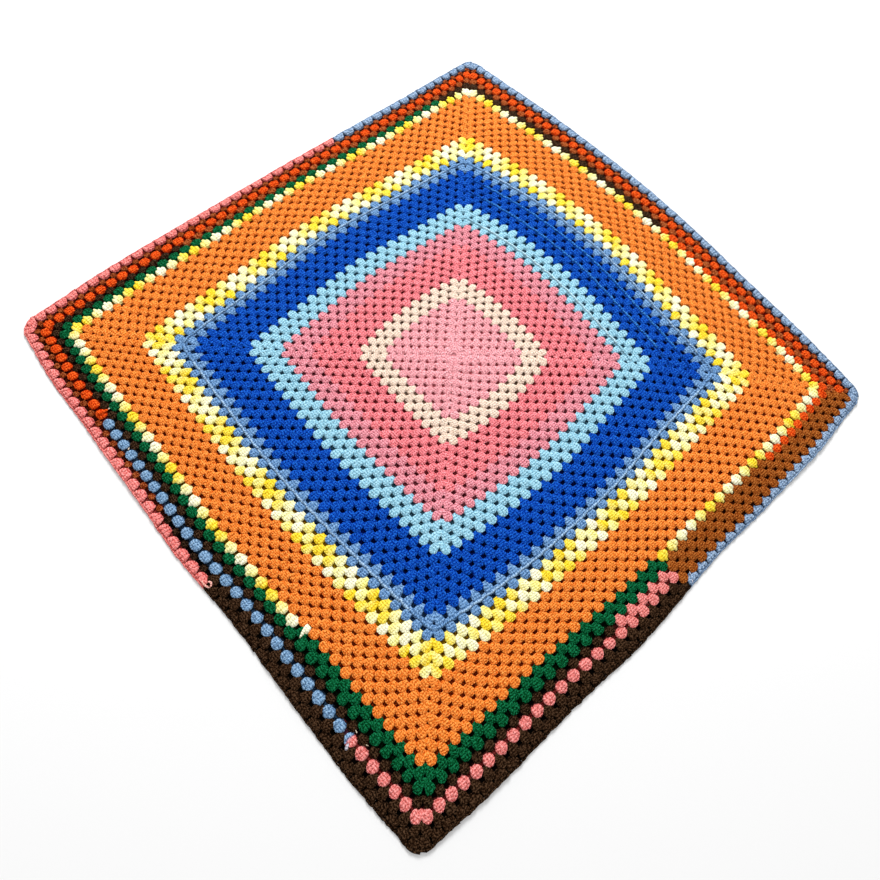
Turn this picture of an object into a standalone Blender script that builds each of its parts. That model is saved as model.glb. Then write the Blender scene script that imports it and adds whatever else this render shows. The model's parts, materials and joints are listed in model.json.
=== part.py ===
"""A granny square blanket: one piece of crochet, worked in rounds and lying flat.

The solid has the blanket's outline, its rounds as low ridges with a groove along each
line of holes, and a slightly wavy rim.  It lies on z = 0 with +Z up, in metres.
"""

import math

import bmesh
import bpy
from mathutils import Vector

# Heights of the crochet above the surface it lies on.
RIDGE_HEIGHT = 0.0052        # where the posts of two rounds overlap
GROOVE_HEIGHT = 0.0036       # along the line of holes in the middle of a round
CHAIN_HEIGHT = 0.0040        # the chain that finishes the edge
CHAIN_MIDDLE = 0.0019        # where that chain reaches furthest out
HEM_INSET = 0.0022           # how far the underside stays inside the edge

EDGE = 45.72                 # the edge, counted in rounds from the centre
LAST_RIDGE = 45.42           # the posts of the last round, inside its chain
CORNER_RADIUS = 0.020        # of the blanket's own corners
CORNER_SHARE = 0.16          # an inner round's corner radius, as a share of its reach

# The rim is not pinned down: outside this round it ripples by up to this much.
RIPPLE_START = 42.0
RIPPLE_HEIGHT = 0.0022
RIPPLES_AROUND = 11

POINTS_ALONG_SIDE = 8        # steps between the two rounded corners of a side

# The bands of colour, from the centre out: how many rounds each has, and how far one
# round reaches at the middle of a side and at a corner.
BANDS = (
    # name, rounds, side step, corner step
    ("light pink", 8, 0.01245, 0.01125),
    ("cream", 3, 0.01310, 0.01140),
    ("pink", 8, 0.01370, 0.01280),
    ("sky blue", 3, 0.01540, 0.01390),
    ("royal blue", 5, 0.01550, 0.01370),
    ("mid blue", 2, 0.01440, 0.01500),
    ("yellow", 3, 0.01370, 0.01350),
    ("orange", 7, 0.01135, 0.01220),
    ("outer rounds", 6, 0.01250, 0.01310),
)

# The sides, counterclockwise: the way each one faces, and how far its middle is
# pulled out or in.
SIDES = (
    # name, facing, stretch
    ("front", Vector((0, -1)), 0.980),
    ("right", Vector((1, 0)), 1.034),
    ("back", Vector((0, 1)), 0.970),
    ("left", Vector((-1, 0)), 1.012),
)

# The corner where each side starts, and how far it is pulled along x and y at three
# rounds: near the centre, half way out and at the edge.
STRETCH_ROUNDS = (12.0, 30.0, 46.0)
CORNERS = (
    # name, direction, stretch along x, stretch along y
    ("left front", Vector((-1, -1)), (1.010, 1.020, 1.022), (0.993, 0.987, 0.983)),
    ("right front", Vector((1, -1)), (1.062, 1.006, 0.990), (0.915, 0.982, 1.011)),
    ("right back", Vector((1, 1)), (1.015, 0.983, 0.997), (0.978, 0.973, 0.998)),
    ("left back", Vector((-1, 1)), (1.070, 1.063, 1.020), (0.950, 0.980, 0.980)),
)


def reach(count, step_column):
    """How far out a round lies, before any stretch, at a side or at a corner."""
    total = 0.0
    for row in BANDS:
        rounds = min(count, row[1]) if row is not BANDS[-1] else count
        total += rounds * row[step_column]
        count -= rounds
    return total


def stretch_at(count, values):
    """A corner's stretch at a round, between the three that are given."""
    inner, middle, outer = STRETCH_ROUNDS
    if count <= middle:
        share = max(0.0, (count - inner) / (middle - inner))
        return values[0] + share * (values[1] - values[0])
    share = min(1.0, (count - middle) / (outer - middle))
    return values[1] + share * (values[2] - values[1])


def corner_point(count, index):
    """Where two sides of a round would meet, if its corner were sharp."""
    name, direction, along_x, along_y = CORNERS[index % 4]
    size = reach(count, 3)
    return Vector((direction.x * size * stretch_at(count, along_x),
                   direction.y * size * stretch_at(count, along_y)))


def side_point(count, index, along):
    """A point of a round's bowed side: along runs from 0 at its first corner to 1."""
    name, facing, stretch = SIDES[index]
    start = corner_point(count, index)
    end = corner_point(count, index + 1)
    bow = reach(count, 2) * stretch - (start.dot(facing) + end.dot(facing)) / 2
    return start.lerp(end, along) + facing * bow * 4 * along * (1 - along)


def round_outline(count):
    """One round's closed outline, counterclockwise, with rounded corners."""
    outline = []
    radius = min(CORNER_RADIUS, CORNER_SHARE * reach(count, 3))
    for index, (name, facing, stretch) in enumerate(SIDES):
        start = corner_point(count, index)
        length = (corner_point(count, index + 1) - start).length
        inward = (SIDES[index - 1][1] + facing) * -radius * (1 - math.cos(math.pi / 4))
        outline.append(start + inward)
        corner_share = radius / length
        for step in range(POINTS_ALONG_SIDE + 1):
            share = step / POINTS_ALONG_SIDE
            along = corner_share + share * (1 - 2 * corner_share)
            outline.append(side_point(count, index, along))
    return outline


def ripple(count, place):
    """How far the rim lifts at a place around it, from 0 to 1."""
    share = max(0.0, min(1.0, (count - RIPPLE_START) / (EDGE - RIPPLE_START)))
    turn = place * 2 * math.pi
    wave = math.sin(RIPPLES_AROUND * turn) + 0.6 * math.sin(5 * turn + 1.3)
    return share * share * max(0.0, wave) / 1.6


def add_ring(mesh, count, height, inset=0.0):
    """The vertices of one round's outline at one height."""
    outline = round_outline(count)
    ring = []
    for position, point in enumerate(outline):
        place = position / len(outline)
        point = point * (1 - inset / point.length)
        lift = RIPPLE_HEIGHT * ripple(count, place)
        ring.append(mesh.verts.new((point.x, point.y, height + lift)))
    return ring


def join_rings(mesh, inner, outer):
    """The faces between two rings that have as many points as each other."""
    for index in range(len(inner)):
        after = (index + 1) % len(inner)
        mesh.faces.new((inner[index], outer[index], outer[after], inner[after]))


def blanket_mesh():
    """The whole blanket as one closed solid, from the centre out and back below."""
    mesh = bmesh.new()
    rounds = sum(row[1] for row in BANDS)
    top = mesh.verts.new((0, 0, GROOVE_HEIGHT))
    rings = [add_ring(mesh, 0.5, RIDGE_HEIGHT)]
    for index, vertex in enumerate(rings[0]):
        mesh.faces.new((top, vertex, rings[0][(index + 1) % len(rings[0])]))
    for number in range(1, rounds + 1):
        rings.append(add_ring(mesh, number, GROOVE_HEIGHT))
        ridge = LAST_RIDGE if number == rounds else number + 0.5
        rings.append(add_ring(mesh, ridge, RIDGE_HEIGHT))
    rings.append(add_ring(mesh, EDGE, CHAIN_HEIGHT, HEM_INSET / 4))
    rings.append(add_ring(mesh, EDGE, CHAIN_MIDDLE))
    rings.append(add_ring(mesh, EDGE, 0.0, HEM_INSET))
    rings.append(add_ring(mesh, RIPPLE_START, 0.0))
    for inner, outer in zip(rings, rings[1:]):
        join_rings(mesh, inner, outer)
    mesh.faces.new(reversed(rings[-1]))
    bmesh.ops.triangulate(mesh, faces=mesh.faces[:])
    bmesh.ops.recalc_face_normals(mesh, faces=mesh.faces[:])
    data = bpy.data.meshes.new("blanket")
    mesh.to_mesh(data)
    mesh.free()
    return data


def centre_on_box(data):
    """Moves a mesh so that its box is centred on x = 0 and y = 0."""
    for axis in (0, 1):
        values = [vertex.co[axis] for vertex in data.vertices]
        middle = (min(values) + max(values)) / 2
        for vertex in data.vertices:
            vertex.co[axis] -= middle


def yarn_material(name, colour, roughness):
    """Matt acrylic yarn."""
    material = bpy.data.materials.new(name)
    material.use_nodes = True
    shader = material.node_tree.nodes["Principled BSDF"]
    shader.inputs["Base Color"].default_value = (*colour, 1.0)
    shader.inputs["Roughness"].default_value = roughness
    shader.inputs["Metallic"].default_value = 0.0
    return material


def build_blanket():
    """The scene: one blanket in a collection of its own."""
    for thing in list(bpy.data.objects):
        bpy.data.objects.remove(thing, do_unlink=True)
    collection = bpy.data.collections.new("granny_square_blanket")
    bpy.context.scene.collection.children.link(collection)
    data = blanket_mesh()
    centre_on_box(data)
    data.materials.append(yarn_material("crochet_yarn", (0.80, 0.30, 0.09), 0.92))
    collection.objects.link(bpy.data.objects.new("blanket", data))


build_blanket()
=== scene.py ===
import json
import math

import bpy
import numpy as np
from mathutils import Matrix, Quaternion, Vector

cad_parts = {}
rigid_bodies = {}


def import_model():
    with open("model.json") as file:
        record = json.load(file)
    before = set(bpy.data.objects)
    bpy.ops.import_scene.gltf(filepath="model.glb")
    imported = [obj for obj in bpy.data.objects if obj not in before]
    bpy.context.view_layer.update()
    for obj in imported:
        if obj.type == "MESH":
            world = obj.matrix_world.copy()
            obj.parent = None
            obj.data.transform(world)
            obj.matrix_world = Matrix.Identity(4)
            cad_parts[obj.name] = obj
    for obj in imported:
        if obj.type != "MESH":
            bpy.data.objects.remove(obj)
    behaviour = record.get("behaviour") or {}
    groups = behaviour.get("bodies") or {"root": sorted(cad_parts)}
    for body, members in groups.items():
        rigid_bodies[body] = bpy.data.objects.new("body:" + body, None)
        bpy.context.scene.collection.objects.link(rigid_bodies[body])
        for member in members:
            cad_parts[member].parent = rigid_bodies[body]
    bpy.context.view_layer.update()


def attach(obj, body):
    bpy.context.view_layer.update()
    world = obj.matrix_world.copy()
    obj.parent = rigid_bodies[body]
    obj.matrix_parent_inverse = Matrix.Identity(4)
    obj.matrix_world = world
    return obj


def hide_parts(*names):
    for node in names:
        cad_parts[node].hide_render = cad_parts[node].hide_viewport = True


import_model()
mm = 0.001


class Wire:
    # a socket that can stand in a sum
    def __init__(self, board, socket):
        self.board, self.socket = board, socket

    def maths(self, operation, first, second):
        return self.board.node("ShaderNodeMath", {"operation": operation}, {0: first, 1: second})

    def __add__(self, other):
        return self.maths("ADD", self, other)

    def __radd__(self, other):
        return self.maths("ADD", other, self)

    def __sub__(self, other):
        return self.maths("SUBTRACT", self, other)

    def __rsub__(self, other):
        return self.maths("SUBTRACT", other, self)

    def __mul__(self, other):
        return self.maths("MULTIPLY", self, other)

    def __rmul__(self, other):
        return self.maths("MULTIPLY", other, self)


class Board:
    # a node tree that nodes are added to
    def __init__(self, tree):
        self.tree = tree
        tree.nodes.clear()

    def node(self, kind, settings=None, sockets=None, output=0):
        made = self.tree.nodes.new(kind)
        for name, value in (settings or {}).items():
            setattr(made, name, value)
        for name, value in (sockets or {}).items():
            if isinstance(value, Wire):
                self.tree.links.new(value.socket, made.inputs[name])
            else:
                made.inputs[name].default_value = value
        return Wire(self, made.outputs[output]) if made.outputs else None


def linear(red, green, blue):
    # a colour as a screen shows it, 0 to 255, turned into light
    def channel(value):
        value = value / 255
        return value / 12.92 if value <= 0.04045 else ((value + 0.055) / 1.055) ** 2.4
    return (channel(red), channel(green), channel(blue))


plan = {
    # each band's rounds, and how many mm one of them reaches out at a side and at a corner
    "bands": ((8, 12.45, 11.25), (3, 13.10, 11.40), (8, 13.70, 12.80), (3, 15.40, 13.90),
              (5, 15.50, 13.70), (2, 14.40, 15.00), (3, 13.70, 13.50), (7, 11.35, 12.20),
              (6, 12.50, 13.10)),
    "edge": 45.72,           # rounds from the centre to the outer edge of the last one
    # where the first round lies, in metres, as the solid's box is centred on the origin
    "centre": (-0.0087, 0.0023),
    # the sides counterclockwise: front, right, back, left
    "facing": ((0, -1), (1, 0), (0, 1), (-1, 0)),
    # at five rounds, each side's stretch at its middle, and how many mm its middle slid along
    "stretchRounds": (12.0, 22.0, 30.0, 40.0, 46.0),
    "sideStretch": ((0.993, 0.979, 0.976, 0.983, 0.985), (1.022, 1.033, 1.037, 1.023, 1.025),
                    (0.959, 0.950, 0.957, 0.966, 0.969), (0.985, 1.004, 1.007, 0.991, 0.998)),
    "sideSlide": ((-2, 0, 2, 9, 13), (1, 4, 7, -6, -13), (2, 4, 6, 12, 15), (-1, -4, -7, -11, -14)),
    # how many mm it lies out a quarter and three quarters along it
    "firstQuarter": ((-1, 0, 4, -6, 0), (0, -4, -7, -5, -3), (1, -5, -4, -6, -4),
                     (1, -2, -2, -1, 3)),
    "lastQuarter": ((1, -5, -8, 0, 1), (1, 1, 1, 0, 1), (0, -5, -8, 0, 4), (0, -1, -1, -1, 0)),
    # each side's waves near the rim: the share of the side where one is, and how many mm out
    "waves": (((0.14, 3), (0.40, 5), (0.58, -5), (0.84, 4)), ((0.30, -2), (0.89, -3)),
              ((0.64, -2), (0.85, 2)), ((0.13, 5), (0.49, 5), (0.63, -3), (0.86, 4))),
    "waveHalf": 0.07,
    "waveRounds": (34.0, 46.0),
    # and where its clusters drift along it, and how many mm
    "drifts": (((0.12, -3), (0.84, -3)), ((0.07, -4), (0.30, 7)),
               ((0.08, -6), (0.68, -4)), ((0.27, 6), (0.90, 5))),
    "driftHalf": 0.11,
    "driftRounds": (20.0, 40.0),
    # the corner where each side starts, and its stretch at the same five rounds
    "corner": ((-1, -1), (1, -1), (1, 1), (-1, 1)),
    "stretchX": ((1.037, 1.017, 1.019, 1.017, 1.020), (1.075, 1.045, 1.020, 0.990, 0.974),
                 (0.991, 0.968, 0.964, 0.991, 1.001), (1.062, 1.060, 1.058, 1.027, 1.014)),
    "stretchY": ((1.007, 0.990, 0.990, 0.995, 0.997), (0.930, 0.957, 0.998, 1.014, 1.008),
                 (0.968, 0.956, 0.965, 0.995, 1.004), (0.919, 0.947, 0.967, 0.979, 0.980)),
    "closerAtCorners": 0.07,     # how much closer the clusters stand there
    # the corners are rounder at the rim than in the rounds inside it
    "radiusRounds": (0.0, 10.0, 43.3, 45.4),
    "cornerRadius": (0.0, 6.0, 8.0, 26.0),
    "cornerShare": 0.293,        # of the radius, along a side to the quarter circle's middle
    # the rim's ripples, quick and slow ones
    "rippleStart": 42.0,
    "rippleHeight": 2.2,
    "ripplesAround": 11,
    "slowRipples": 5,
    "slowShare": 0.6,
    "slowStart": 1.3,
    "areaSteps": 60,             # points along each side that the flat area is worked out from
}
rounds = sum(band[0] for band in plan["bands"])


def reach(count, column):
    # how far out a round lies, in metres, at a side or at a corner
    starts = np.cumsum([0] + [band[0] for band in plan["bands"]])
    starts[-1] = 1000        # the last band has no end
    total = np.zeros_like(count)
    for start, end, band in zip(starts, starts[1:], plan["bands"]):
        total += np.clip(count - start, 0, end - start) * band[column] * mm
    return total + np.minimum(count, 0) * plan["bands"][0][column] * mm


def cornerPoints(count, index):
    index = index % 4
    size = reach(count, 2)
    stretchX = np.interp(count, plan["stretchRounds"], plan["stretchX"][index])
    stretchY = np.interp(count, plan["stretchRounds"], plan["stretchY"][index])
    alongX, alongY = plan["corner"][index]
    return np.stack((alongX * size * stretchX, alongY * size * stretchY), axis=-1)


def pulled(count, side, share, place):
    # how many mm a side is pulled out, and along; place runs from -1 to 1 along it
    quarters = [np.interp(count, plan["stretchRounds"], plan[half][side])
                for half in ("firstQuarter", "lastQuarter")]
    out = np.where(place < 0, *quarters) * np.sin(math.pi * place) ** 2
    drift = np.zeros_like(out)
    for moved, name in ((out, "wave"), (drift, "drift")):
        grown = np.interp(count, plan[name + "Rounds"], (0, 1))
        for where, size in plan[name + "s"][side]:
            moved += size * grown * np.exp(-((share - where) / plan[name + "Half"]) ** 2)
    return out, drift


def planPoints(count, side, share):
    # where a share of a side of a round lies, from 0 at its first corner to 1
    facing = np.array(plan["facing"][side], float)
    start, end = cornerPoints(count, side), cornerPoints(count, side + 1)
    stretch = np.interp(count, plan["stretchRounds"], plan["sideStretch"][side])
    slide = np.interp(count, plan["stretchRounds"], plan["sideSlide"][side]) * mm
    bow = reach(count, 1) * stretch - (start @ facing + end @ facing) / 2
    place = 2 * share - 1
    ease = plan["closerAtCorners"]
    place = place * (1 + ease) - ease * place ** 3
    along = ((place + 1) / 2)[:, None]
    way = np.array((-facing[1], facing[0]))
    points = start + (end - start) * along + np.array(plan["centre"])
    points += (bow[:, None] * facing + slide[:, None] * way) * (1 - place ** 2)[:, None]
    out, drift = pulled(count, side, share, place)
    points += (out[:, None] * facing + drift[:, None] * way) * mm
    # the corners are rounded: near each end, points go along and inward to a quarter circle
    length = np.linalg.norm(end - start, axis=1)
    smallest = 1e-5          # so that no radius is 0
    radius = np.interp(count, plan["radiusRounds"], plan["cornerRadius"]) * mm + smallest
    for far, turn in ((along[:, 0] * length, 1), ((1 - along[:, 0]) * length, -1)):
        near = np.clip(1 - far / radius, 0, 1)
        step = plan["cornerShare"] * radius * near
        reached = np.clip((radius - far - step) / radius, 0, 1) * (near > 0)
        inward = radius * (1 - np.sqrt(1 - reached ** 2))
        points += way * (turn * step)[:, None] - facing * inward[:, None]
    return points


def ripple(count, around):
    # the rim lifts a little here and there, as it does in the solid
    share = np.clip((count - plan["rippleStart"]) / (plan["edge"] - plan["rippleStart"]), 0, 1)
    turn = around * math.pi / 2
    slow = np.sin(plan["slowRipples"] * turn + plan["slowStart"])
    wave = np.sin(plan["ripplesAround"] * turn) + plan["slowShare"] * slow
    lifted = np.maximum(0, wave) / (1 + plan["slowShare"])
    return plan["rippleHeight"] * mm * share ** 2 * lifted


def flatArea():
    steps = plan["areaSteps"]
    share = np.linspace(0, 1, steps, endpoint=False)
    edge = np.concatenate([planPoints(np.full(steps, plan["edge"]), side, share)
                           for side in range(4)])
    after = np.roll(edge, -1, axis=0)
    return 0.5 * abs(float(np.sum(edge[:, 0] * after[:, 1] - after[:, 0] * edge[:, 1])))


yarns = {
    "lightPink": (252, 170, 178),
    "cream": (245, 220, 200),
    "coral": (249, 132, 140),
    "dustyPink": (238, 147, 160),
    "skyBlue": (154, 208, 229),
    "royalBlue": (7, 70, 182),
    "cornflower": (107, 152, 202),
    "orange": (251, 137, 48),
    "green": (3, 84, 42),
    "darkBrown": (46, 26, 12),
    "chestnut": (157, 77, 20),
    "redOrange": (232, 74, 12),
    "coralPink": (240, 134, 128),
    "paleBlue": (122, 160, 197),
    "rimBlue": (144, 171, 203),
    "rimPink": (250, 138, 132),
    "umber": (165, 74, 28),
    "creamEnd": (255, 252, 218),
    "lilacEnd": (204, 200, 212),
    "beigeEnd": (214, 196, 172),
    "roseEnd": (246, 178, 164),
}
# the yellow yarn was dyed in lengths: its tones follow each other and come round again
yellowTones = ((255, 251, 222), (255, 248, 155), (255, 219, 36), (255, 230, 78), (255, 249, 182))
yellowRepeat = 5.2           # clusters
# in each yellow round, the cluster from the left front corner where the palest tone starts
yellowStart = {30: 2.8, 31: 1.65, 32: 3.5, 40: 1.8}

# the last round of each yarn, from the centre outwards
innerYarns = ((8, "lightPink"), (11, "cream"), (16, "coral"), (19, "dustyPink"), (22, "skyBlue"),
              (27, "royalBlue"), (29, "cornflower"), (32, "yellow"), (39, "orange"))
# the outer rounds change yarn part way: where each yarn starts, in sides from the left
# front corner, counterclockwise
outerYarns = {
    40: ((0.00, "green"), (0.51, "yellow"), (3.70, "green")),
    41: ((0.00, "green"), (0.51, "chestnut"), (0.79, "redOrange"), (1.47, "darkBrown"),
         (2.10, "green")),
    42: ((0.00, "darkBrown"), (0.39, "coralPink"), (0.51, "chestnut"), (1.00, "umber"),
         (2.705, "darkBrown")),
    43: ((0.00, "coralPink"), (0.51, "chestnut"), (1.00, "redOrange"), (3.235, "paleBlue"),
         (3.84, "coralPink")),
    44: ((0.00, "darkBrown"), (0.51, "chestnut"), (1.00, "umber"), (3.44, "darkBrown")),
    45: ((0.00, "darkBrown"), (0.518, "rimBlue"), (2.36, "rimPink"), (3.55, "darkBrown")),
}


def yarnAt(number, around):
    if number in outerYarns:
        return [name for start, name in outerYarns[number] if around >= start][-1]
    return next(name for last, name in innerYarns if number <= last)


def dyeAt(number, around, tone):
    # the light colour of a round's yarn; tone is a place in the list of yellow tones
    name = yarnAt(number, around)
    if name != "yellow":
        return np.tile(linear(*yarns[name]), (len(tone), 1))
    tones = np.array([linear(*shade) for shade in yellowTones + yellowTones[:1]])
    return np.stack([np.interp(tone, range(len(tones)), tones[:, k]) for k in range(3)], axis=-1)


def addDye(mesh, colours):
    mesh.attributes.new("dye", "FLOAT_COLOR", "POINT").data.foreach_set(
        "color", np.array(colours, dtype=np.float32).ravel())


def crochetPiece(name, mesh):
    mesh.name = name
    piece = bpy.data.objects.new(name, mesh)
    bpy.context.scene.collection.objects.link(piece)
    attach(piece, "root")
    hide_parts("blanket")
    print(name, "made,", len(mesh.polygons), "faces")
    return piece


def newTubes():
    return {"points": [], "faces": [], "corners": []}


def addTube(tubes, centres, halves, section):
    # centres run along it, halves are its half width and half height there. The section is
    # in shares of those, across and up. Its faces point inwards at first
    sides = len(section)
    start = len(tubes["points"])
    centres = np.array(centres, float)
    ahead = np.gradient(centres, axis=0)
    for centre, way, (wide, high) in zip(centres, ahead, halves):
        across = np.array((way[1], -way[0], 0.0))
        across /= np.linalg.norm(across)
        for out, up in section:
            tubes["points"].append(centre + across * wide * out + np.array((0, 0, high * up)))
    lengths = np.concatenate(([0], np.cumsum(np.linalg.norm(np.diff(centres, axis=0), axis=1))))
    for index, (near, far) in enumerate(zip(lengths, lengths[1:])):
        for side in range(sides):
            first = start + index * sides + side
            second = start + index * sides + (side + 1) % sides
            tubes["faces"].append((first, second, second + sides, first + sides))
            tubes["corners"] += ((side, near), (side + 1, near), (side + 1, far), (side, far))
    firstCap = [start + side for side in range(sides)][::-1]
    lastCap = [start + (len(centres) - 1) * sides + side for side in range(sides)]
    tubes["faces"] += [tuple(firstCap), tuple(lastCap)]
    tubes["corners"] += [(side, 0) for side in range(sides)][::-1]
    tubes["corners"] += [(side, lengths[-1]) for side in range(sides)]


def tubeMesh(name, tubes):
    # its UV map runs around each tube by sides, and along it in mm
    mesh = bpy.data.meshes.new(name)
    mesh.from_pydata([tuple(point * mm) for point in tubes["points"]], [], tubes["faces"])
    strand = mesh.uv_layers.new(name="strand")
    strand.data.foreach_set("uv", np.array(tubes["corners"], dtype=np.float32).ravel())
    mesh.shade_smooth()
    return mesh


cluster = {
    "pitch": 25.0,           # mm from one cluster to the next, before the plan bends it
    "depth": 13.0,           # mm from one round to the next
    "undersideHalf": 0.7,    # half the width of a post's underside, for its own half width
    "widestAt": 0.30,        # how far up a post is widest, for its half thickness
    "chainSection": ((0.0, -1.0), (1.0, 0.0), (0.0, 1.0), (-1.0, 0.0)),
    # the clusters of the first round fill the centre: how much longer and wider they are,
    # how much wider still toward their feet, and where their feet end, in rounds
    "firstLonger": 1.15,
    "firstWider": 1.25,
    "firstFootWider": 1.2,
    "firstEnd": -0.93,
    "innerFuller": 0.25,     # how much fuller the clusters are at the middle
    "innerRounds": 10.0,
    # in these rounds of each side the chain lies on top of the posts, as one line
    "raisedRounds": ((28,), (20, 24, 26, 28), (28,), (28,)),
    "raisedLight": 0.62,     # a power that makes that line lighter
    "raisedUntil": 0.42,     # in sides from its middle: nearer the corners the line isn't lighter
    "crownRound": 40,        # its single yellow clusters stand out
    "roundSize": {41: 1.04, 42: 0.86, 44: 0.62},     # of the small round clusters
    "overDiagonal": 0.09,    # in clusters, how far one may pass the diagonal
    "cornerSpread": 1.22,    # how much further the two clusters of a corner reach to each other
    # one cluster changes yarn part way: round, side, place, how far across, and to what
    "splitAt": (43, 3, 36),
    "splitAcross": -0.04,
    "splitYarn": "paleBlue",
    "turn": 0.06,            # radians that any cluster may be turned
    "unevenSize": 0.04,      # the share of its width and height that it may be off
    "turnSeed": 7,
    "uneven": 0.42,          # mm that any point of the yarn may stray
    "unevenHeight": 0.7,     # the share of that which it may stray up and down
    "unevenSeed": 40,
    "lowest": 0.1,           # mm over the floor
}

# a post's points are mm across, rounds along, and its half width in mm; its heights and half
# thicknesses are in mm, and its underside is so many half thicknesses down
commonPosts = {
    "sidePost": ((1.6, -0.74, 2.5), (3.4, -0.44, 3.6), (4.6, 0.00, 4.0), (4.7, 0.40, 3.9),
                 (4.2, 0.68, 2.9)),
    "middlePost": ((0.0, -0.75, 3.0), (0.0, -0.44, 4.2), (0.0, 0.00, 4.6), (0.0, 0.44, 4.3),
                   (0.0, 0.78, 3.0)),
    "heights": (2.6, 3.1, 3.3, 3.3, 3.0),
    "halfThick": (1.5, 1.8, 2.1, 2.0, 1.6),
    "underside": 1.45,
}
# a chain's points are mm across and rounds along, to its middle, and its half width and half
# height are in mm
commonChain = {
    "chain": ((8.2, 0.28), (6.2, 0.54), (2.6, 0.70)),
    "chainHeight": 3.8,
    "chainHalf": (1.2, 1.2),
}
raisedChain = {
    "chain": ((12.7, 0.52), (7.6, 0.56), (2.5, 0.58)),
    "chainHeight": 5.3,
    "chainHalf": (1.9, 0.9),
}
# the small round clusters hide their feet
dotPosts = {
    "sidePost": ((2.4, -0.50, 2.4), (4.1, -0.34, 4.0), (5.4, 0.02, 4.6), (5.2, 0.44, 4.2),
                 (4.3, 0.72, 2.6)),
    "middlePost": ((0.0, -0.52, 2.6), (0.0, -0.36, 4.0), (0.0, 0.02, 4.6), (0.0, 0.48, 4.2),
                   (0.0, 0.84, 2.6)),
    "heights": (1.0, 2.3, 3.2, 3.3, 2.7),
    "halfThick": (0.9, 1.8, 2.4, 2.1, 1.2),
    "underside": 1.2,
}
# a crown has three points, and stands out
crownPosts = {
    "sidePost": ((2.0, -0.60, 2.4), (4.2, -0.36, 4.0), (5.8, 0.00, 4.8), (6.2, 0.38, 4.0),
                 (5.6, 0.70, 2.2)),
    "middlePost": ((0.0, -0.62, 2.6), (0.0, -0.36, 4.0), (0.0, 0.06, 4.8), (0.0, 0.60, 4.4),
                   (0.0, 1.06, 2.2)),
    "heights": (1.2, 2.9, 4.3, 4.4, 3.6),
    "halfThick": (0.9, 1.8, 2.4, 2.1, 1.2),
    "underside": 1.2,
}
# the last round is wide at the top, and its chain runs straight
edgePosts = {
    "sidePost": ((3.8, -0.60, 2.8), (5.0, -0.34, 4.0), (6.4, 0.00, 4.6), (7.8, 0.34, 4.4),
                 (8.8, 0.56, 3.0)),
    "middlePost": ((0.0, -0.66, 3.2), (0.0, -0.34, 4.4), (0.0, 0.00, 5.0), (0.0, 0.34, 5.2),
                   (0.0, 0.56, 4.0)),
    "heights": (1.0, 2.3, 2.9, 2.2, 1.6),
    "halfThick": (0.9, 1.8, 2.4, 2.1, 1.2),
    "underside": 1.2,
}
edgeChain = {
    "chain": ((13.2, 0.59), (7.8, 0.61), (2.6, 0.59)),
    "chainHeight": 2.0,
    "chainHalf": (1.5, 1.3),
}
clusterForms = {
    "common": {**commonPosts, **commonChain},
    "crown": {**crownPosts, **commonChain},
    "dot": {**dotPosts, **commonChain},
    "edge": {**edgePosts, **edgeChain},
    "raised": {**commonPosts, **raisedChain},
}


def clusterObject(name, form):
    # three double crochets that share a foot, with the chain of their tops
    tubes = newTubes()
    depth = cluster["depth"]
    under, half, widest = form["underside"], cluster["undersideHalf"], cluster["widestAt"]
    section = ((-half, -under), (half, -under), (1.0, widest), (0.0, 1.0), (-1.0, widest))
    for way in (-1, 0, 1):
        post = form["middlePost"] if way == 0 else form["sidePost"]
        centres = [(way * x, y * depth, z) for (x, y, wide), z in zip(post, form["heights"])]
        halves = [(wide, thick) for (x, y, wide), thick in zip(post, form["halfThick"])]
        addTube(tubes, centres, halves, section)
    top = [(-x, y * depth, form["chainHeight"]) for x, y in form["chain"]]
    top += [(x, y * depth, form["chainHeight"]) for x, y in reversed(form["chain"])]
    postPoints = len(tubes["points"])
    addTube(tubes, top, [form["chainHalf"]] * len(top), cluster["chainSection"])
    mesh = tubeMesh(name, tubes)
    chained = [float(index >= postPoints) for index in range(len(tubes["points"]))]
    mesh.attributes.new("chained", "FLOAT", "POINT").data.foreach_set("value", chained)
    return bpy.data.objects.new(name, mesh)


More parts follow.
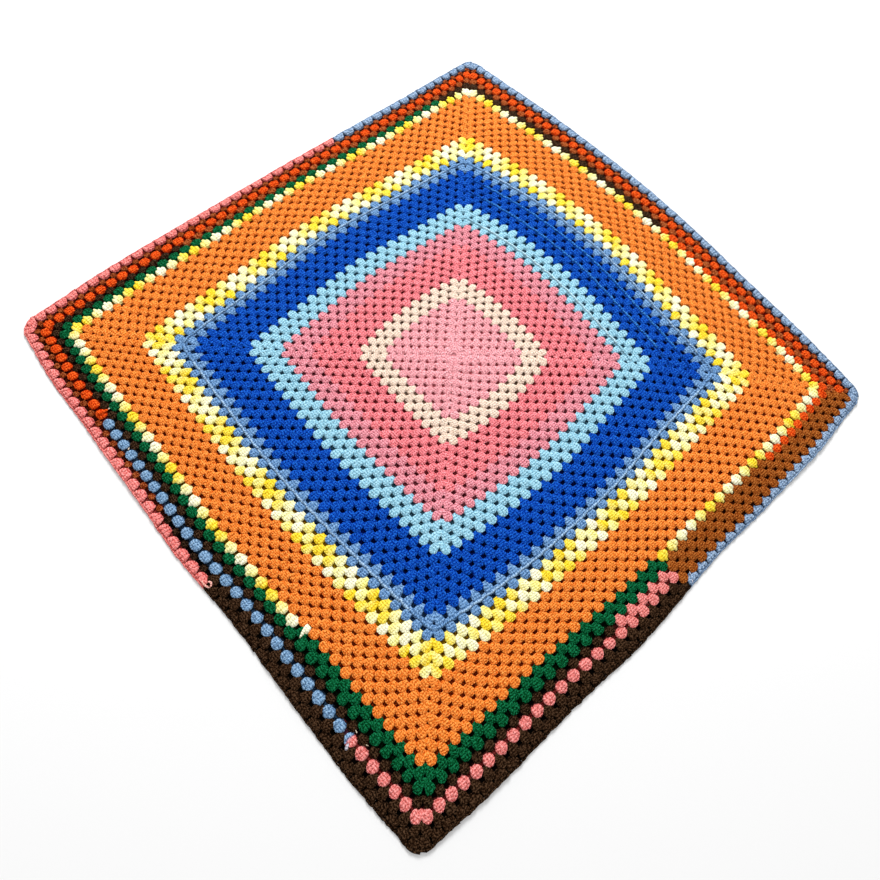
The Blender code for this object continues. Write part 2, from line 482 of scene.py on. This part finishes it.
def clusterTree():
    # puts a cluster on every point, each turned and sized a little differently
    tree = bpy.data.node_groups.new("crochetRounds", "GeometryNodeTree")
    sockets = (("Points", "NodeSocketGeometry"), ("Clusters", "NodeSocketCollection"),
               ("Turn", "NodeSocketFloat"), ("Uneven Size", "NodeSocketFloat"),
               ("Seed", "NodeSocketInt"), ("Yarn", "NodeSocketMaterial"))
    for name, kind in sockets:
        tree.interface.new_socket(name, in_out="INPUT", socket_type=kind)
    tree.interface.new_socket("Crochet", in_out="OUTPUT", socket_type="NodeSocketGeometry")
    board = Board(tree)
    entry = board.node("NodeGroupInput").socket.node
    given = {name: Wire(board, entry.outputs[name]) for name, kind in sockets}
    forms = board.node("GeometryNodeCollectionInfo", None,
                       {"Collection": given["Clusters"], "Separate Children": True,
                        "Reset Children": True})
    form = board.node("GeometryNodeInputNamedAttribute", {"data_type": "INT"}, {"Name": "form"})

    def randomBetween(least, most, seed):
        # sockets 2 and 3, and output 1, are those for plain numbers
        return board.node("FunctionNodeRandomValue", {"data_type": "FLOAT"},
                          {2: least, 3: most, "Seed": seed}, 1)

    turn = randomBetween(given["Turn"] * -1.0, given["Turn"], given["Seed"])
    size = randomBetween(1.0 - given["Uneven Size"], 1.0 + given["Uneven Size"],
                         given["Seed"] + 1.0)
    placed = board.node("GeometryNodeInstanceOnPoints", None,
                        {"Points": given["Points"], "Instance": forms, "Pick Instance": True,
                         "Instance Index": form,
                         "Rotation": board.node("ShaderNodeCombineXYZ", None, {"Z": turn}),
                         "Scale": board.node("ShaderNodeCombineXYZ", None,
                                             {"X": size, "Y": 1.0, "Z": size})})
    real = board.node("GeometryNodeRealizeInstances", None, {"Geometry": placed})
    dressed = board.node("GeometryNodeSetMaterial", None,
                         {"Geometry": real, "Material": given["Yarn"]})
    board.node("NodeGroupOutput", None, {"Crochet": dressed})
    return tree


def setInputs(modifier, values):
    for item in modifier.node_group.interface.items_tree:
        if item.in_out == "INPUT" and item.name in values:
            modifier[item.identifier] = values[item.name]


def formOf(number, side, place):
    if number == rounds:
        return "edge"
    if number < cluster["crownRound"]:
        return "raised" if number in cluster["raisedRounds"][side] else "common"
    # next to a round of its own yarn a cluster runs on into it, as within a band
    around = side + (place + 0.5) / number
    own = yarnAt(number, around)
    if own in (yarnAt(number - 1, around), yarnAt(number + 1, around)):
        return "common"
    return "crown" if number == cluster["crownRound"] else "dot"


def rowPoints(side):
    # one point for each cluster of a side, laid out in straight rows
    rows = [(place, number) for number in range(1, rounds + 1) for place in range(number)]
    mesh = bpy.data.meshes.new("rows")
    mesh.from_pydata([(place * cluster["pitch"] * mm, number * cluster["depth"] * mm, 0)
                      for place, number in rows], [], [])
    forms = [formOf(number, side, place) for place, number in rows]
    order = sorted(clusterForms)     # the order in which the tree finds them
    values = {
        "roundNumber": ("FLOAT", [number for place, number in rows]),
        "place": ("FLOAT", [place for place, number in rows]),
        "form": ("INT", [order.index(form) for form in forms]),
        "dot": ("FLOAT", [float(form == "dot") for form in forms]),
    }
    for name, (kind, numbers) in values.items():
        mesh.attributes.new(name, kind, "POINT").data.foreach_set("value", numbers)
    return mesh


def readPoints(mesh, name):
    numbers = np.empty(len(mesh.vertices), dtype=np.float32)
    mesh.attributes[name].data.foreach_get("value", numbers)
    return numbers.astype(float)


def bendRows(mesh, side):
    # takes the straight rows to their places in the blanket, which turns their faces outwards;
    # gives back how far across its cluster each point lies, in clusters
    flat = np.empty(len(mesh.vertices) * 3, dtype=np.float32)
    mesh.vertices.foreach_get("co", flat)
    flat = flat.reshape(-1, 3).astype(float)
    number, place = readPoints(mesh, "roundNumber"), readPoints(mesh, "place")
    across = flat[:, 0] / (cluster["pitch"] * mm) - place
    along = flat[:, 1] / (cluster["depth"] * mm) - number
    isFirst = number < 1.5
    wider = cluster["firstWider"] - cluster["firstFootWider"] * np.minimum(along, 0)
    longer = np.maximum(along * cluster["firstLonger"], cluster["firstEnd"])
    across = across * np.where(isFirst, wider, 1.0)
    along = np.where(isFirst, longer, along)
    size = np.ones(len(flat))
    for which, value in cluster["roundSize"].items():
        size[(np.abs(number - which) < 0.5) & (readPoints(mesh, "dot") > 0.5)] = value
    fuller = 1 + cluster["innerFuller"] * np.clip(1 - number / cluster["innerRounds"], 0, 1)
    across, along = across * size * fuller, along * size
    # a cluster stands on a hole of the round before, and a hole of the next stands on it
    foot = np.where(isFirst, 0.5, place / np.maximum(number - 1, 1))
    head = (place + 0.5) / number
    after = (place + 1) / (number + 1)
    share = np.where(along < 0, head + (head - foot) * along, head + (after - head) * along)
    # the two clusters of a corner spread to each other, and meet along the rim
    first, last = (place < 0.5) & (across < 0), (place > number - 1.5) & (across > 0)
    room = np.where(first, share, 1 - share) * number / 0.5      # for half a cluster
    spread = np.where(number < rounds - 0.5, cluster["cornerSpread"], np.maximum(room, 1))
    across = across * np.where(first | last, spread, 1.0)
    # and no yarn passes the diagonal by more than a little
    over = cluster["overDiagonal"] / number
    share = np.clip(share + across / number, -over, 1 + over)
    bent = planPoints(number + along, side, share)
    chance = np.random.default_rng(cluster["unevenSeed"] + side)
    stray = chance.normal(0, cluster["uneven"] * mm, flat.shape)
    bent += stray[:, :2]
    height = (flat[:, 2] * size + ripple(number + along, side + head)
              + stray[:, 2] * cluster["unevenHeight"])
    height = np.maximum(height, cluster["lowest"] * mm)
    mesh.vertices.foreach_set("co", np.column_stack((bent, height)).astype(np.float32).ravel())
    mesh.update()
    return across


def dyeRows(mesh, side, across):
    number, place = readPoints(mesh, "roundNumber"), readPoints(mesh, "place")
    head = (place + 0.5) / number
    dye = np.ones((len(across), 4))
    keys = np.round(number * 100 + place).astype(int)        # one for each cluster
    order = np.argsort(keys, kind="stable")
    for group in np.split(order, np.flatnonzero(np.diff(keys[order])) + 1):
        first = group[0]
        whole = int(round(number[first]))
        passed = side * whole + place[first] + across[group] - yellowStart.get(whole, 0)
        tone = passed / yellowRepeat % 1 * len(yellowTones)
        dye[group, :3] = dyeAt(whole, side + head[first], tone)
        if (whole, side, int(place[first] + 0.5)) == cluster["splitAt"]:
            changed = group[across[group] < cluster["splitAcross"]]
            dye[changed, :3] = linear(*yarns[cluster["splitYarn"]])
    raised = np.isin(np.round(number), cluster["raisedRounds"][side])
    raised &= readPoints(mesh, "chained") > 0.5
    raised &= np.abs(head - 0.5) < cluster["raisedUntil"]
    dye[raised, :3] **= cluster["raisedLight"]
    addDye(mesh, dye)


def makeQuarters(yarn):
    # the four sides of the square, each with all its clusters
    forms = bpy.data.collections.new("clusterForms")
    for name, form in clusterForms.items():
        forms.objects.link(clusterObject(name, form))
    tree = clusterTree()
    made = []
    for side, name in enumerate(("frontQuarter", "rightQuarter", "backQuarter", "leftQuarter")):
        rows = bpy.data.objects.new("rows", rowPoints(side))
        bpy.context.scene.collection.objects.link(rows)
        modifier = rows.modifiers.new("crochet", "NODES")
        modifier.node_group = tree
        setInputs(modifier, {"Clusters": forms, "Turn": cluster["turn"],
                             "Uneven Size": cluster["unevenSize"],
                             "Seed": cluster["turnSeed"] + side, "Yarn": yarn})
        evaluated = rows.evaluated_get(bpy.context.evaluated_depsgraph_get())
        mesh = bpy.data.meshes.new_from_object(evaluated)
        bpy.data.objects.remove(rows)
        dyeRows(mesh, side, bendRows(mesh, side))
        for used in ("roundNumber", "place", "form", "dot", "chained"):
            mesh.attributes.remove(mesh.attributes[used])
        made.append(crochetPiece(name, mesh))
    for form in list(forms.objects):
        bpy.data.objects.remove(form)
    return made


holeShade = {
    # painted shade: a thin dark sheet that closes the holes, low in the crochet, coloured as the
    # shadow in them; the real holes go through
    "top": 1.2,
    "thick": 0.3,
    "innerLift": 1.5,        # the first rounds are closer, and their holes shallow
    "innerRounds": 10.0,
    "middleLift": 0.9,       # and the very middle is full
    "innerShade": 0.50,      # how light it is there, and from the tenth round on
    "shade": 0.23,
    "deeper": 2.2,           # a power that makes the shaded colours richer
    "tone": 2.0,             # the yellow tone that gives its shaded colour
    "steps": 40,             # along each side
    "firstRing": 0.25,       # rings of points, in rounds
    "lastRing": 45.5,
    "ringStep": 0.5,
}


def makeHoleShade(yarn):
    # one thin closed sheet under all the clusters, in painted shade: the colours of their rounds,
    # made deeper and darker
    steps = holeShade["steps"]
    counts = np.arange(holeShade["firstRing"], holeShade["lastRing"], holeShade["ringStep"])
    counts = np.append(counts, holeShade["lastRing"])
    across = np.tile(np.arange(steps) / steps, 4)
    sides = np.repeat(np.arange(4), steps)
    middle = holeShade["top"] + holeShade["innerLift"] + holeShade["middleLift"]
    points = [np.array([[*plan["centre"], middle * mm]])]
    dyes = [dyeAt(1, 0.0, np.array([0.0]))[0]]
    shades = [holeShade["innerShade"]]
    for count in counts:
        ring = np.concatenate([planPoints(np.full(steps, count), side, across[:steps])
                               for side in range(4)])
        lift = holeShade["innerLift"] * max(0.0, 1 - (count / holeShade["innerRounds"]) ** 2)
        high = ripple(count, sides + across) + (holeShade["top"] + lift) * mm
        points.append(np.column_stack((ring, high)))
        number = int(np.clip(math.floor(count + 0.5), 1, rounds))
        shades += [np.interp(count, (0, holeShade["innerRounds"]),
                             (holeShade["innerShade"], holeShade["shade"]))] * len(ring)
        for side, share in zip(sides, across):
            dyes.append(dyeAt(number, side + share, np.array([holeShade["tone"]]))[0])
    points = np.concatenate(points)
    under = points - np.array((0, 0, holeShade["thick"] * mm))
    ringSize, layer = 4 * steps, len(points)
    faces = []

    def bothFaces(*corners):
        faces.append(corners)
        faces.append(tuple(layer + corner for corner in reversed(corners)))

    for step in range(ringSize):
        bothFaces(0, 1 + step, 1 + (step + 1) % ringSize)
    for row in range(len(counts) - 1):
        for step in range(ringSize):
            first = 1 + row * ringSize + step
            second = 1 + row * ringSize + (step + 1) % ringSize
            bothFaces(first, first + ringSize, second + ringSize, second)
    last = 1 + (len(counts) - 1) * ringSize
    for step in range(ringSize):
        first, second = last + step, last + (step + 1) % ringSize
        faces.append((first, layer + first, layer + second, second))
    mesh = bpy.data.meshes.new("yarnGround")
    mesh.from_pydata(np.concatenate((points, under)).tolist(), [], faces)
    # the painted shade of the holes, from each round's colour
    shaded = np.array(dyes) ** holeShade["deeper"] * np.array(shades)[:, None]
    shade = np.ones((2 * layer, 4))
    shade[:, :3] = np.tile(shaded, (2, 1))
    # the very middle keeps the yarn's own colour
    shade[:1 + ringSize, :3] = dyes[0]
    addDye(mesh, shade)
    mesh.uv_layers.new(name="strand")        # left empty: this sheet has no twist
    mesh.materials.append(yarn)
    return crochetPiece("yarnGround", mesh)


yarnEnds = {
    # ends of yarn that lie on the crochet: yarn, half width at both ends, and points in mm
    # from the middle of the blanket
    "ends": (
        ("creamEnd", 4.8, 1.8, ((-520, -214), (-528, -216), (-536, -219), (-543, -221))),
        ("creamEnd", 4.4, 3.2, ((-520, -218), (-526, -220), (-532, -222))),
        ("lilacEnd", 1.9, 3.0, ((-579, -391), (-584, -393), (-588, -396))),
        ("redOrange", 5.8, 1.5, ((-582, 318), (-571, 317), (-562, 316))),
        ("beigeEnd", 1.3, 1.2, ((-563, 316), (-559, 316))),
        ("beigeEnd", 1.3, 1.0, ((-573, 229), (-577, 226))),
        ("roseEnd", 1.9, 1.5, ((-608, -44), (-608, -56), (-605, -63))),
        ("roseEnd", 1.5, 1.9, ((-605, -63), (-600, -62), (-598, -57), (-601, -53))),
        ("lilacEnd", 1.0, 0.8, ((21, -573), (18, -578))),
        ("lilacEnd", 0.8, 0.9, ((14, -584), (11, -589))),
        ("beigeEnd", 0.9, 0.8, ((-560, -384), (-561, -389))),
        ("beigeEnd", 0.9, 0.8, ((-561, -410), (-559, -414))),
    ),
    "section": ((-0.5, -0.87), (0.5, -0.87), (1.0, 0.0), (0.5, 0.87), (-0.5, 0.87), (-1.0, 0.0)),
    "height": 5.4,
    "dip": 1.0,              # how much lower both tips lie
    "flat": 0.7,             # height for width
    "tip": 0.45,             # how much narrower the tips are
    "tipPower": 3,           # how late they narrow
    "rings": 9,
}


def makeYarnEnds(yarn):
    tubes = newTubes()
    dyes = []
    for name, startHalf, endHalf, points in yarnEnds["ends"]:
        along = np.linspace(0, 1, yarnEnds["rings"])
        given = np.linspace(0, 1, len(points))
        bend = np.abs(2 * along - 1) ** yarnEnds["tipPower"]
        centres = np.column_stack([np.interp(along, given, column) for column in zip(*points)])
        centres = np.column_stack((centres, yarnEnds["height"] - yarnEnds["dip"] * bend))
        wide = np.interp(along, (0, 1), (startHalf, endHalf)) * (1 - yarnEnds["tip"] * bend)
        halves = np.column_stack((wide, wide * yarnEnds["flat"]))
        addTube(tubes, centres, halves, yarnEnds["section"])
        dyes += [(*linear(*yarns[name]), 1.0)] * (len(tubes["points"]) - len(dyes))
    mesh = tubeMesh("yarnEnds", tubes)
    mesh.flip_normals()      # so that the faces point outwards
    addDye(mesh, dyes)
    mesh.materials.append(yarn)
    return crochetPiece("yarnEnds", mesh)


yarnLook = {
    "fuzzScale": 420.0,      # the loose fibres, over a metre
    "fuzzDetail": 3.0,
    "fuzzRoughness": 0.6,
    "patchScale": 60.0,      # and the soft patches
    "patchDetail": 2.0,
    # the twist's turn, in radians: for a mm along, for a side around, and for the fuzz
    "twistAlong": 1.5,
    "twistAround": 0.35,
    "twistFuzz": 1.5,
    "looseTwist": 0.035,     # how much the twist shows among the loose fibres
    "shadedHeight": 0.8,     # mm over the floor where the yarn is fully in shade, and fully lit
    "litHeight": 4.4,
    "darkYarn": 0.45,        # how green a dark yarn's colour is at most, and a pale one's at least
    "paleYarn": 0.80,
    # ranges of the fuzz, and what they turn into: a deeper colour, which low down is also painted
    # shade, a paler one, and light
    "deep": (0.36, 0.52, 0.25, 1.0),
    "deepPower": 1.6,
    "pale": (0.50, 0.60, 0.0, 0.65),
    "palePower": 0.62,
    "light": (0.40, 0.54, 0.60, 1.10),
    "paleYarnLight": 0.24,   # how much lighter the dark fibres of a pale yarn are
    # the least light, and how much there is to add; by height and along the twist it is painted
    # shade
    "patchLight": (0.92, 0.16),
    "heightShade": (0.66, 0.34),
    # painted shade of the plies' grooves along the twist
    "twistShade": (1.0, 0.08),
    "bumpStrength": 0.9,
    "bumpDistance": 0.0014,
    "bumpTwist": 0.25,
    "roughness": 0.95,
    "specular": 0.03,
}


def yarnMaterial():
    look = yarnLook
    made = bpy.data.materials.new("crochetYarn")
    made.use_nodes = True
    board = Board(made.node_tree)
    dye = board.node("ShaderNodeAttribute", {"attribute_name": "dye"})
    place = board.node("ShaderNodeTexCoord", None, None, 3)      # Object
    height = board.node("ShaderNodeSeparateXYZ", None, {"Vector": place}, 2)
    strand = board.node("ShaderNodeUVMap", {"uv_map": "strand"})
    around = board.node("ShaderNodeSeparateXYZ", None, {"Vector": strand}, 0)
    along = board.node("ShaderNodeSeparateXYZ", None, {"Vector": strand}, 1)
    fuzz = board.node("ShaderNodeTexNoise", None,
                      {"Vector": place, "Scale": look["fuzzScale"],
                       "Detail": look["fuzzDetail"], "Roughness": look["fuzzRoughness"]})
    patch = board.node("ShaderNodeTexNoise", None,
                       {"Vector": place, "Scale": look["patchScale"],
                        "Detail": look["patchDetail"]})
    turned = along * look["twistAlong"] + around * look["twistAround"] + fuzz * look["twistFuzz"]
    twist = board.node("ShaderNodeMath", {"operation": "SINE"}, {0: turned})

    def ranged(value, low, high, least, most):
        return board.node("ShaderNodeMapRange", None,
                          {"Value": value, "From Min": low, "From Max": high,
                           "To Min": least, "To Max": most})

    def raisedTo(colour, power):
        return board.node("ShaderNodeVectorMath", {"operation": "POWER"},
                          {0: colour, 1: (power, power, power)})

    def mixed(factor, first, second):
        # sockets 6 and 7, and output 2, are those for colours
        return board.node("ShaderNodeMix", {"data_type": "RGBA"},
                          {0: factor, 6: first, 7: second}, 2)

    def lit(value, name):
        least, added = look[name]
        return least + value * added

    # painted shade: down between the posts, by height, the yarn is darker and deeper in colour; its
    # loose fibres look paler
    # depth is how lit a height is painted: 0 fully in painted shade, 1 fully lit
    depth = ranged(height, look["shadedHeight"] * mm, look["litHeight"] * mm, 0.0, 1.0)
    green = board.node("ShaderNodeSeparateColor", None, {"Color": dye}, 1)
    paleness = ranged(green, look["darkYarn"], look["paleYarn"], 0.0, 1.0)
    loose = fuzz + twist * look["looseTwist"]
    # the deeper colour: random among the fibres, and painted shade low down
    deep = mixed(depth * ranged(loose, *look["deep"]), raisedTo(dye, look["deepPower"]), dye)
    pale = mixed(ranged(loose, *look["pale"]), deep, raisedTo(dye, look["palePower"]))
    low, high, least, most = look["light"]
    # light: random fuzz and patches, with painted shade by height and along the twist
    light = (ranged(loose, low, high, least + paleness * look["paleYarnLight"], most)
             * lit(patch, "patchLight") * lit(depth, "heightShade") * lit(twist, "twistShade"))
    shade = board.node("ShaderNodeVectorMath", {"operation": "SCALE"}, {0: pale, "Scale": light})
    bump = board.node("ShaderNodeBump", None,
                      {"Strength": look["bumpStrength"], "Distance": look["bumpDistance"],
                       "Height": fuzz + twist * look["bumpTwist"]})
    shader = board.node("ShaderNodeBsdfPrincipled", None,
                        {"Base Color": shade, "Roughness": look["roughness"], "Normal": bump,
                         "Specular IOR Level": look["specular"]})
    board.node("ShaderNodeOutputMaterial", None, {"Surface": shader})
    print("yarn material made")
    return made


yarn = yarnMaterial()
quarters = makeQuarters(yarn)
holeShadeSheet = makeHoleShade(yarn)
looseEnds = makeYarnEnds(yarn)
area = flatArea()
print("crochet made, flat area", round(area, 3))


studio = {
    # places and sizes are in metres, the lens and its sensor in mm
    "floorSize": 14.0,
    "floorLevel": -0.0002,   # just under the yarn
    "floorColour": (0.90, 0.90, 0.90),
    "floorRoughness": 0.8,
    "lamp": (2.5, 3.1, 2.6),
    "lampSize": 1.6,
    "lampPower": 250,
    "skyLight": 0.68,
    "camera": (-0.4623, -0.3693, 1.0298),
    "aim": (-0.1451, -0.1112, 0.0),
    "roll": 9.95,            # degrees
    "lens": 24.75,
    "sensorWidth": 36,
}


def makeFloor():
    bpy.ops.mesh.primitive_plane_add(size=studio["floorSize"],
                                     location=(0, 0, studio["floorLevel"]))
    floor = bpy.context.object
    floor.name = "floor"
    paint = bpy.data.materials.new("floorPaint")
    paint.use_nodes = True
    shader = paint.node_tree.nodes["Principled BSDF"]
    shader.inputs["Base Color"].default_value = (*studio["floorColour"], 1)
    shader.inputs["Roughness"].default_value = studio["floorRoughness"]
    floor.data.materials.append(paint)


def turnTo(place, target):
    # the turn of a lamp or a camera that looks from one point to another
    return (Vector(target) - Vector(place)).to_track_quat("-Z", "Y")


def makeLight():
    data = bpy.data.lights.new("keyLight", "AREA")
    data.size, data.energy = studio["lampSize"], studio["lampPower"]
    lamp = bpy.data.objects.new("keyLight", data)
    lamp.location = studio["lamp"]
    lamp.rotation_euler = turnTo(studio["lamp"], (0, 0, 0)).to_euler()
    bpy.context.scene.collection.objects.link(lamp)
    world = bpy.data.worlds.new("studioWorld")
    world.use_nodes = True
    sky = world.node_tree.nodes["Background"]
    sky.inputs["Color"].default_value = (1, 1, 1, 1)
    sky.inputs["Strength"].default_value = studio["skyLight"]
    bpy.context.scene.world = world


def makeCamera():
    data = bpy.data.cameras.new("camera")
    data.lens, data.sensor_width = studio["lens"], studio["sensorWidth"]
    camera = bpy.data.objects.new("camera", data)
    camera.location = studio["camera"]
    camera.rotation_mode = "QUATERNION"
    roll = Quaternion((0, 0, 1), math.radians(studio["roll"]))
    camera.rotation_quaternion = turnTo(studio["camera"], studio["aim"]) @ roll
    bpy.context.scene.collection.objects.link(camera)
    bpy.context.scene.camera = camera


makeFloor()
makeLight()
makeCamera()
bpy.context.scene.view_settings.view_transform = "Standard"      # it keeps the yarns' colours
print("studio made")
